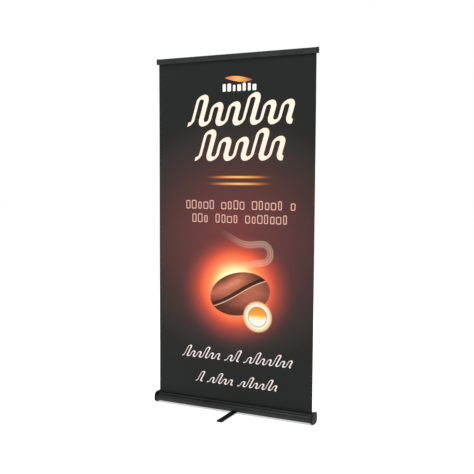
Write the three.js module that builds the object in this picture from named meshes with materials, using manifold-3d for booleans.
// A roll-up banner stand: a spring cassette that stores a one metre wide printed film, a swivel foot
// under it, a three-section pole behind it, and a clamp rail that the pole holds the film up by.
// Millimetres. +X runs along the banner's width, +Y points to the back, +Z is up.
// The origin is on the floor, under the middle of the film, and the film hangs in the plane y = 0.
import * as THREE from "three";
import { mergeVertices } from "three/addons/utils/BufferGeometryUtils.js";
import Module from "manifold-3d";

const wasm = await Module();
wasm.setup();

// ---- Driving dimensions ----
const GAP = 0.3; // clearance between pieces that touch
const FILM_WIDTH = 1000;
const FILM_THICKNESS = 0.4;
const FILM_VISIBLE = 2000; // between the cassette's slot and the rail

const HOUSING_HALF = 503; // half the length of the cassette's extrusion
const HOUSING_BOTTOM = 12;
const HOUSING_TOP = 59;
const HOUSING_FRONT = -37;
const HOUSING_REAR = 36;
const HOUSING_WALL = 1.8;
const SLOT_HALF = 3;

const CAP_OUTER = 517; // outer face of each end cap
const CAP_WALL = 2.5;
const CAP_FRONT = -39;
const CAP_REAR = 38;
const CAP_TOP = 61;

const ROLLER_Y = -14.8; // the film leaves the roll straight up in the plane y = 0
const ROLLER_Z = 31;
const ROLLER_RADIUS = 14;
const ROLLER_BORE = 12.6;
const ROLLER_HALF = 492;
const WRAP_RADIUS = 14.6;
const AXLE_RADIUS = 4;

const FOOT_X = 20; // the swivel foot's pivot, just right of the middle
const FOOT_LENGTH = 426;
const FOOT_WIDTH = 37;
const FOOT_TIP = 13;
const FOOT_BOTTOM = 2;
const FOOT_TOP = 9;
const HUB_RADIUS = 32;
const PIVOT_RADIUS = 3;

const POLE_Y = 20;
const POLE_RADIUS = 8;
const POLE_BORE = 7;
const POLE_BOTTOM = 31;
const POLE_TOP = 2068;
const POLE_JOINTS = [723, 1408]; // where one pole section meets the next
const FERRULE_REACH = 25; // how far a ferrule enters each section
const SOCKET_BOTTOM = 25;

const RAIL_BOTTOM = HOUSING_TOP + FILM_VISIBLE;
const RAIL_HEIGHT = 32;
const RAIL_TOP = RAIL_BOTTOM + RAIL_HEIGHT;
const RAIL_FRONT = -9;
const RAIL_REAR = 7;
const RAIL_HALF = 503;
const RAIL_CAP_OUTER = 512;
const JAW_PIVOT = { y: -3, z: RAIL_TOP - 3.5 };

// Screw ports of the housing, as [y, z]
const SCREW_PORTS = [
  [-32.2, 16.8],
  [31.2, 16.8],
  [31.2, 50.2],
];

// ---- Materials ----
const finish = (color, roughness, metalness) => () =>
  new THREE.MeshStandardMaterial({ color, roughness, metalness });
const anodised = finish(0x3a3b3b, 0.45, 0.8);
const capPlastic = finish(0x2c2d2d, 0.6, 0);
const steel = finish(0x9a9c9e, 0.35, 0.9);
const blackSteel = finish(0x2a2a2a, 0.5, 0.7);
const nylon = finish(0xd8d6cf, 0.55, 0);
const rubber = finish(0x1c1c1c, 0.85, 0);
const printedFilm = finish(0x2b2b2b, 0.5, 0);
const cordFabric = finish(0x242424, 0.9, 0);

// ---- Geometry helpers ----
function toManifold(geometry) {
  const bare = geometry.clone();
  bare.deleteAttribute("normal");
  bare.deleteAttribute("uv");
  const merged = mergeVertices(bare, 1e-3);
  return new wasm.Manifold(
    new wasm.Mesh({
      numProp: 3,
      vertProperties: merged.attributes.position.array,
      triVerts: new Uint32Array(merged.index.array),
    }),
  );
}

function toGeometry(manifold) {
  const mesh = manifold.getMesh();
  return new THREE.BufferGeometry()
    .setAttribute("position", new THREE.BufferAttribute(mesh.vertProperties, 3))
    .setIndex(new THREE.BufferAttribute(mesh.triVerts, 1));
}

const join = (first, ...others) =>
  toGeometry(others.reduce((sum, g) => sum.add(toManifold(g)), toManifold(first)));
const cut = (first, ...others) =>
  toGeometry(others.reduce((rest, g) => rest.subtract(toManifold(g)), toManifold(first)));

// A shape drawn in (y, z), extruded from x0 to x1.
const Y_Z_X = new THREE.Matrix4().makeBasis(
  new THREE.Vector3(0, 1, 0),
  new THREE.Vector3(0, 0, 1),
  new THREE.Vector3(1, 0, 0),
);
function alongX(shape, x0, x1) {
  return new THREE.ExtrudeGeometry(shape, { depth: x1 - x0, bevelEnabled: false, curveSegments: 8 })
    .applyMatrix4(Y_Z_X)
    .translate(x0, 0, 0);
}

// A shape drawn in (x, z), extruded from y0 to y1.
function alongY(shape, y0, y1) {
  return new THREE.ExtrudeGeometry(shape, { depth: y1 - y0, bevelEnabled: false, curveSegments: 8 })
    .rotateX(Math.PI / 2)
    .translate(0, y1, 0);
}

// A shape drawn in (x, y), extruded from z0 to z1.
function alongZ(shape, z0, z1) {
  return new THREE.ExtrudeGeometry(shape, { depth: z1 - z0, bevelEnabled: false, curveSegments: 8 })
    .translate(0, 0, z0);
}

// Cylinders along X and along Z.
function barX(radius, x0, x1, y, z, sides = 24) {
  return new THREE.CylinderGeometry(radius, radius, x1 - x0, sides)
    .rotateZ(Math.PI / 2)
    .translate((x0 + x1) / 2, y, z);
}
function barZ(radius, z0, z1, x, y, sides = 24) {
  return new THREE.CylinderGeometry(radius, radius, z1 - z0, sides)
    .rotateX(Math.PI / 2)
    .translate(x, y, (z0 + z1) / 2);
}

// Tubes along X and along Z; the bore is cut past both ends.
const tubeX = (outer, bore, x0, x1, y, z, sides) =>
  cut(barX(outer, x0, x1, y, z, sides), barX(bore, x0 - 1, x1 + 1, y, z, sides));
const tubeZ = (outer, bore, z0, z1, x, y, sides) =>
  cut(barZ(outer, z0, z1, x, y, sides), barZ(bore, z0 - 1, z1 + 1, x, y, sides));

const polygon = (points) => new THREE.Shape(points.map(([a, b]) => new THREE.Vector2(a, b)));

// A rectangle with its own radius at each corner: bottom left, bottom right, top right, top left.
function roundedRectangle(left, bottom, right, top, [bl, br, tr, tl]) {
  const shape = new THREE.Shape();
  shape.moveTo(left + bl, bottom);
  shape.lineTo(right - br, bottom);
  shape.absarc(right - br, bottom + br, br, -Math.PI / 2, 0);
  shape.lineTo(right, top - tr);
  shape.absarc(right - tr, top - tr, tr, 0, Math.PI / 2);
  shape.lineTo(left + tl, top);
  shape.absarc(left + tl, top - tl, tl, Math.PI / 2, Math.PI);
  shape.lineTo(left, bottom + bl);
  shape.absarc(left + bl, bottom + bl, bl, Math.PI, 1.5 * Math.PI);
  return shape;
}

// Points of an arc in degrees, ends included.
function arc(centreA, centreB, radius, from, to, steps) {
  return Array.from({ length: steps + 1 }, (_, i) => {
    const angle = THREE.MathUtils.degToRad(from + ((to - from) * i) / steps);
    return [centreA + radius * Math.cos(angle), centreB + radius * Math.sin(angle)];
  });
}

// An open path moved sideways, to its left, by a distance.
function offsetPath(points, distance) {
  return points.map(([a, b], i) => {
    const [a0, b0] = points[Math.max(i - 1, 0)];
    const [a1, b1] = points[Math.min(i + 1, points.length - 1)];
    const before = new THREE.Vector2(a - a0, b - b0).normalize();
    const after = new THREE.Vector2(a1 - a, b1 - b).normalize();
    const along = before.clone().add(after).normalize();
    const reference = after.lengthSq() > 0 ? after : before;
    const reach = distance / Math.max(along.dot(reference), 0.5);
    return [a - along.y * reach, b + along.x * reach];
  });
}

const model = new THREE.Group();
function place(name, geometry, material, group = model) {
  const mesh = new THREE.Mesh(geometry, material());
  mesh.name = name;
  group.add(mesh);
  return mesh;
}

// ---- Cassette housing: one long C-shaped extrusion, open only at the film slot. Its front rises in
// a round shoulder to a low step under the slot ----
const shoulderCurve = new THREE.QuadraticBezierCurve(
  new THREE.Vector2(-15.6, 49.4),
  new THREE.Vector2(-35, 48.5),
  new THREE.Vector2(HOUSING_FRONT, 29),
);
const housingOutline = [
  [-SLOT_HALF, HOUSING_TOP],
  [-8, 58.6],
  [-11.4, 57.2],
  [-13.2, 54.8],
  [-14, 51.2],
  ...shoulderCurve.getPoints(8).map((p) => [p.x, p.y]),
  ...arc(HOUSING_FRONT + 3, HOUSING_BOTTOM + 3, 3, 180, 270, 3),
  ...arc(HOUSING_REAR - 3, HOUSING_BOTTOM + 3, 3, 270, 360, 3),
  ...arc(HOUSING_REAR - 11, HOUSING_TOP - 11, 11, 0, 90, 5),
  [SLOT_HALF, HOUSING_TOP],
];

// The C-shaped band between two depths under the housing's outer surface.
function housingBand(outerDepth, innerDepth) {
  const outer = offsetPath(housingOutline, outerDepth);
  const inner = offsetPath(housingOutline, innerDepth);
  return polygon([...outer, ...inner.reverse()]);
}

function housing() {
  const ports = SCREW_PORTS.map(([y, z]) => barX(3.4, -HOUSING_HALF, HOUSING_HALF, y, z, 10));
  const bores = SCREW_PORTS.map(([y, z]) => barX(1.5, -HOUSING_HALF - 1, HOUSING_HALF + 1, y, z, 8));
  const skin = alongX(housingBand(0, HOUSING_WALL), -HOUSING_HALF, HOUSING_HALF);
  const socketHole = barZ(10.7, SOCKET_BOTTOM - 1, HOUSING_TOP + 1, 0, POLE_Y, 28);
  const pivotHole = barZ(PIVOT_RADIUS + GAP, HOUSING_BOTTOM - 1, HOUSING_BOTTOM + 4, FOOT_X, 0, 16);
  const flangeScrewHoles = [-1, 1].map((side) => barZ(1.5, HOUSING_TOP - 4, HOUSING_TOP + 1, side * 15.5, POLE_Y, 8));
  return cut(join(skin, ...ports), ...bores, socketHole, pivotHole, ...flangeScrewHoles);
}
place("cassette_housing", housing(), anodised);

// ---- End caps: moulded shells that close the cassette and carry the roller's axles ----
const capOutline = (inset) =>
  roundedRectangle(
    CAP_FRONT + inset,
    inset,
    CAP_REAR - inset,
    CAP_TOP - inset,
    [22, 22, 10, 26].map((radius) => radius - inset),
  );

function endCap(side) {
  const inner = HOUSING_HALF + GAP;
  const shell = cut(
    alongX(capOutline(0), inner, CAP_OUTER),
    alongX(capOutline(CAP_WALL), inner - 1, CAP_OUTER - 3),
  );
  const bosses = SCREW_PORTS.map(([y, z]) => barX(3.6, inner, CAP_OUTER - 2, y, z, 12));
  const axleBoss = barX(8, inner, CAP_OUTER - 2, ROLLER_Y, ROLLER_Z, 24);
  const screwHoles = SCREW_PORTS.map(([y, z]) => barX(1.7, inner - 1, CAP_OUTER + 1, y, z, 8));
  const headSeats = SCREW_PORTS.map(([y, z]) => barX(3.1, CAP_OUTER - 1.6, CAP_OUTER + 1, y, z, 14));
  const axleHole = barX(AXLE_RADIUS + GAP, inner - 1, CAP_OUTER - 3, ROLLER_Y, ROLLER_Z, 20);
  const cap = cut(join(shell, ...bosses, axleBoss), ...screwHoles, ...headSeats, axleHole);
  return side > 0 ? cap : mirrored(cap);
}

// A solid mirrored in the plane x = 0, with its faces turned back to point out.
function mirrored(geometry) {
  const flipped = geometry.clone().scale(-1, 1, 1);
  const index = flipped.index.array;
  for (let i = 0; i < index.length; i += 3) {
    [index[i + 1], index[i + 2]] = [index[i + 2], index[i + 1]];
  }
  return flipped;
}
place("end_cap_left", endCap(-1), capPlastic);
place("end_cap_right", endCap(1), capPlastic);

// A countersunk screw lying along +X with its head's face at x = 0.
function screw(headRadius, headHeight, shankRadius, length) {
  return join(
    barX(headRadius, -headHeight, 0, 0, 0, 12),
    barX(shankRadius, -length, -headHeight / 2, 0, 0, 8),
  );
}
SCREW_PORTS.forEach(([y, z], i) => {
  for (const [name, side] of [["left", -1], ["right", 1]]) {
    const made = place(`end_cap_screw_${name}_${i + 1}`, screw(2.8, 1.2, 1.2, 28), blackSteel);
    made.rotation.z = side > 0 ? 0 : Math.PI;
    made.position.set(side * (CAP_OUTER - 0.1), y, z);
  }
});

// ---- Roller: a tube on two plugs, wound with the film's spare turns ----
const roller = new THREE.Group();
roller.position.set(0, ROLLER_Y, ROLLER_Z);
model.add(roller);

place("roller_tube", tubeX(ROLLER_RADIUS, ROLLER_BORE, -ROLLER_HALF, ROLLER_HALF, 0, 0, 32), anodised, roller);
place(
  "banner_wrap",
  tubeX(WRAP_RADIUS, ROLLER_RADIUS + GAP / 2, -FILM_WIDTH / 2, FILM_WIDTH / 2, 0, 0, 32),
  printedFilm,
  roller,
);

// A plug inside the tube's end, with a flange over the tube's edge and a bore for a bush.
const PLUG_INNER_END = ROLLER_HALF - 22;
function rollerPlug() {
  const body = barX(ROLLER_BORE - GAP, PLUG_INNER_END, ROLLER_HALF + GAP + 0.5, 0, 0, 28);
  const flange = barX(ROLLER_RADIUS - 0.2, ROLLER_HALF + GAP, ROLLER_HALF + 3.5, 0, 0, 28);
  return cut(join(body, flange), barX(6.3, ROLLER_HALF - 30, ROLLER_HALF + 10, 0, 0, 20));
}
place("roller_plug_right", rollerPlug(), nylon, roller);
place("roller_plug_left", mirrored(rollerPlug()), nylon, roller);

const BUSH_END = ROLLER_HALF + 3;
place("axle_bush_right", tubeX(6, AXLE_RADIUS + 0.1, BUSH_END - 16, BUSH_END, 0, 0, 20), nylon, roller);
place("axle_bush_left", tubeX(6, AXLE_RADIUS + 0.1, -BUSH_END, -BUSH_END + 16, 0, 0, 20), nylon, roller);

// ---- Fixed axles: a short pin on the right, a long spindle with the return spring on the left ----
const SPRING_INNER_END = -320;
const SPRING_OUTER_END = -456;
const SPRING_TURNS = 14;
place("axle_pin", barX(AXLE_RADIUS, ROLLER_HALF - 18, CAP_OUTER - 3.4, ROLLER_Y, ROLLER_Z, 20), steel);
place(
  "spring_spindle",
  join(
    barX(AXLE_RADIUS, -CAP_OUTER + 3.4, SPRING_INNER_END - 6, ROLLER_Y, ROLLER_Z, 20),
    barX(7.2, -PLUG_INNER_END + 3, SPRING_OUTER_END - 2, ROLLER_Y, ROLLER_Z, 6),
  ),
  steel,
);

class SpringPath extends THREE.Curve {
  getPoint(t, target = new THREE.Vector3()) {
    const angle = 2 * Math.PI * SPRING_TURNS * t;
    const x = THREE.MathUtils.lerp(SPRING_OUTER_END, SPRING_INNER_END, t);
    return target.set(x, 8.6 * Math.cos(angle), 8.6 * Math.sin(angle));
  }
}
function circleShape(radius, sides) {
  return polygon(arc(0, 0, radius, 0, 360 - 360 / sides, sides - 1));
}
const spring = new THREE.ExtrudeGeometry(circleShape(0.9, 6), {
  extrudePath: new SpringPath(),
  steps: SPRING_TURNS * 10,
});
place("torsion_spring", spring, steel).position.set(0, ROLLER_Y, ROLLER_Z);

// The plug that takes the spring's moving end round with the tube.
place(
  "spring_anchor_plug",
  cut(
    barX(ROLLER_BORE - GAP, SPRING_INNER_END + 2, SPRING_INNER_END + 16, 0, 0, 28),
    barX(AXLE_RADIUS + GAP, SPRING_INNER_END, SPRING_INNER_END + 12, 0, 0, 20),
  ),
  nylon,
  roller,
);

// ---- Pole socket: a moulded cup let into the back of the cassette's top ----
place(
  "pole_socket",
  cut(
    join(
      barZ(10.3, SOCKET_BOTTOM, HOUSING_TOP + 1, 0, POLE_Y, 28),
      alongZ(
        roundedRectangle(-20, POLE_Y - 12.5, 20, POLE_Y + 12.5, [10, 10, 10, 10]),
        HOUSING_TOP + GAP,
        HOUSING_TOP + 2,
      ),
    ),
    barZ(POLE_RADIUS + GAP, SOCKET_BOTTOM + 2.5, HOUSING_TOP + 3, 0, POLE_Y, 28),
    barZ(1.7, HOUSING_TOP - 1, HOUSING_TOP + 3, -15.5, POLE_Y, 8),
    barZ(1.7, HOUSING_TOP - 1, HOUSING_TOP + 3, 15.5, POLE_Y, 8),
  ),
  capPlastic,
);
for (const [name, side] of [["left", -1], ["right", 1]]) {
  const made = place(`socket_screw_${name}`, screw(2.6, 1, 1.2, 9), blackSteel);
  made.rotation.y = -Math.PI / 2;
  made.position.set(side * 15.5, POLE_Y, HOUSING_TOP + 3.3);
}

// ---- Swivel foot: one flat bar under the middle, with a round hub that turns on a bolt ----
const foot = new THREE.Group();
foot.position.set(FOOT_X, 0, 0);
model.add(foot);

const FOOT_BAR_HALF = FOOT_LENGTH / 2 - FOOT_TIP;
const footSection = polygon([
  [-FOOT_WIDTH / 2, FOOT_BOTTOM],
  [FOOT_WIDTH / 2, FOOT_BOTTOM],
  [FOOT_WIDTH / 2, FOOT_TOP - 2.2],
  [FOOT_WIDTH / 2 - 2.2, FOOT_TOP],
  [-FOOT_WIDTH / 2 + 2.2, FOOT_TOP],
  [-FOOT_WIDTH / 2, FOOT_TOP - 2.2],
]);
place(
  "foot_bar",
  cut(
    alongY(footSection, -FOOT_BAR_HALF, FOOT_BAR_HALF),
    barZ(PIVOT_RADIUS + GAP, 0, FOOT_TOP + 1, 0, 0, 16),
    barZ(7.4, 0, FOOT_BOTTOM + 4.6, 0, 0, 20),
  ),
  anodised,
  foot,
);
place(
  "foot_hub_disc",
  tubeZ(HUB_RADIUS, PIVOT_RADIUS + GAP, FOOT_TOP + GAP, HOUSING_BOTTOM - GAP, 0, 0, 40),
  capPlastic,
  foot,
);

function footTip(end) {
  const outline = roundedRectangle(
    -FOOT_WIDTH / 2,
    FOOT_BAR_HALF + GAP,
    FOOT_WIDTH / 2,
    FOOT_LENGTH / 2,
    [0.5, 0.5, 7, 7],
  );
  const block = alongZ(outline, FOOT_BOTTOM - 0.5, FOOT_TOP);
  return end > 0 ? block : block.rotateZ(Math.PI);
}
for (const [name, end] of [["front", -1], ["rear", 1]]) {
  place(`foot_tip_${name}`, footTip(end), capPlastic, foot);
  const pad = barZ(8, 0, FOOT_BOTTOM - GAP, 0, end * (FOOT_BAR_HALF - 14), 20);
  place(`foot_pad_${name}`, pad, rubber, foot);
}
place(
  "foot_pivot_bolt",
  join(
    barZ(7, HOUSING_BOTTOM + HOUSING_WALL + GAP, HOUSING_BOTTOM + HOUSING_WALL + 2.5, 0, 0, 20),
    barZ(PIVOT_RADIUS, FOOT_BOTTOM + 0.4, HOUSING_BOTTOM + HOUSING_WALL + 1, 0, 0, 16),
  ),
  steel,
  foot,
);
place(
  "foot_pivot_nut",
  cut(barZ(6.4, FOOT_BOTTOM + 0.5, FOOT_BOTTOM + 4.3, 0, 0, 6), barZ(PIVOT_RADIUS + GAP, 0, FOOT_TOP, 0, 0, 16)),
  steel,
  foot,
);

// ---- Pole: three tubes that plug together on ferrules, strung on an elastic cord ----
const pole = new THREE.Group();
pole.position.set(0, POLE_Y, 0);
model.add(pole);

const [LOWER_TOP, MIDDLE_TOP] = POLE_JOINTS;
const section = (z0, z1) => tubeZ(POLE_RADIUS, POLE_BORE, z0, z1, 0, 0, 28);
place("pole_lower", section(POLE_BOTTOM + GAP, LOWER_TOP), anodised, pole);
place("pole_middle", section(LOWER_TOP + GAP, MIDDLE_TOP), anodised, pole);
place("pole_upper", section(MIDDLE_TOP + GAP, POLE_TOP), anodised, pole);
for (const [name, height] of [["lower", LOWER_TOP], ["upper", MIDDLE_TOP]]) {
  const sleeve = tubeZ(POLE_BORE - GAP, 5.4, height - FERRULE_REACH, height + FERRULE_REACH, 0, 0, 24);
  place(`pole_ferrule_${name}`, sleeve, steel, pole);
}
place(
  "pole_foot_plug",
  join(
    barZ(POLE_RADIUS, SOCKET_BOTTOM + 3, POLE_BOTTOM, 0, 0, 28),
    barZ(POLE_BORE - GAP, POLE_BOTTOM - 1, POLE_BOTTOM + 15, 0, 0, 24),
  ),
  capPlastic,
  pole,
);
place("bungee_cord", barZ(2, POLE_BOTTOM + 15 + GAP, POLE_TOP - 20 - GAP, 0, 0, 8), cordFabric, pole);

// The hook on the pole's top: a spigot in the tube, and a tongue that reaches for the rail's groove.
const HOOK_HALF_WIDTH = 9;
const TONGUE_TIP = RAIL_REAR + 0.4 - POLE_Y;
const GROOVE_BOTTOM = RAIL_BOTTOM + 12;
const GROOVE_TOP = GROOVE_BOTTOM + 10;
const hookProfile = polygon([
  [TONGUE_TIP, GROOVE_BOTTOM + 2.5],
  [-POLE_RADIUS, GROOVE_BOTTOM + 1],
  [-POLE_RADIUS, POLE_TOP + GAP],
  [POLE_RADIUS, POLE_TOP + GAP],
  [POLE_RADIUS, RAIL_TOP - 11],
  [POLE_RADIUS - 4, RAIL_TOP - 6],
  [-POLE_RADIUS, RAIL_TOP - 6],
  [-POLE_RADIUS, GROOVE_TOP - 1.2],
  [TONGUE_TIP, GROOVE_TOP - 1.2],
]);
place(
  "pole_hook",
  join(
    alongX(hookProfile, -HOOK_HALF_WIDTH, HOOK_HALF_WIDTH),
    barZ(POLE_BORE - GAP, POLE_TOP - 20, POLE_TOP + 1, 0, 0, 24),
  ),
  capPlastic,
  pole,
);

// ---- Clamp rail: a back profile with a groove, and a front jaw that snaps shut on the film ----
const JAW_SOCKET_RADIUS = 2.4;
const railBackProfile = polygon([
  [0.5, RAIL_BOTTOM],
  [RAIL_REAR - 1, RAIL_BOTTOM],
  [RAIL_REAR, RAIL_BOTTOM + 1],
  [RAIL_REAR, GROOVE_BOTTOM],
  [3.7, GROOVE_BOTTOM],
  [3.7, GROOVE_TOP],
  [RAIL_REAR, GROOVE_TOP],
  [RAIL_REAR, RAIL_TOP - 2],
  [RAIL_REAR - 2, RAIL_TOP],
  [JAW_PIVOT.y + 0.4, RAIL_TOP],
  ...arc(JAW_PIVOT.y, JAW_PIVOT.z, JAW_SOCKET_RADIUS, 84, -78, 8),
  [JAW_PIVOT.y + 1, JAW_PIVOT.z - 4.4],
  [0.5, JAW_PIVOT.z - 5.4],
]);
place("rail_back", alongX(railBackProfile, -RAIL_HALF, RAIL_HALF), anodised);

const jawProfile = polygon([
  [RAIL_FRONT + 0.6, RAIL_BOTTOM],
  [-2.2, RAIL_BOTTOM],
  [-2.2, RAIL_BOTTOM + 4.4],
  [-3.6, RAIL_BOTTOM + 4.4],
  [RAIL_FRONT + 1.7, RAIL_BOTTOM + 6.5],
  [RAIL_FRONT + 1.7, JAW_PIVOT.z - 3.4],
  [JAW_PIVOT.y - 2.4, JAW_PIVOT.z - 1.6],
  ...arc(JAW_PIVOT.y, JAW_PIVOT.z, 2, 215, 525, 12),
  [JAW_PIVOT.y - 2.9, JAW_PIVOT.z + 0.6],
  [RAIL_FRONT + 1.2, JAW_PIVOT.z + 1.1],
  [RAIL_FRONT, JAW_PIVOT.z - 0.2],
  [RAIL_FRONT, RAIL_BOTTOM + 0.8],
]);
place("rail_front_jaw", alongX(jawProfile, -RAIL_HALF, RAIL_HALF), anodised);
place(
  "jaw_grip_strip",
  alongX(
    polygon([
      [-2.2 + GAP, RAIL_BOTTOM + 0.6],
      [-0.5, RAIL_BOTTOM + 1.2],
      [-0.5, RAIL_BOTTOM + 3.4],
      [-2.2 + GAP, RAIL_BOTTOM + 4],
    ]),
    -FILM_WIDTH / 2,
    FILM_WIDTH / 2,
  ),
  rubber,
);

const railCapOutline = roundedRectangle(RAIL_FRONT - 0.4, RAIL_BOTTOM - 0.4, RAIL_REAR + 0.4, RAIL_TOP, [2, 2, 2, 2]);
const railCap = alongX(railCapOutline, RAIL_HALF + GAP, RAIL_CAP_OUTER);
place("rail_end_cap_right", railCap, capPlastic);
place("rail_end_cap_left", mirrored(toGeometry(toManifold(railCap))), capPlastic);

// ---- The film, from the roller's side up into the rail ----
place(
  "banner_sheet",
  new THREE.BoxGeometry(FILM_WIDTH, FILM_THICKNESS, RAIL_BOTTOM + 18 - ROLLER_Z).translate(
    0,
    0,
    (RAIL_BOTTOM + 18 + ROLLER_Z) / 2,
  ),
  printedFilm,
);

export default model;
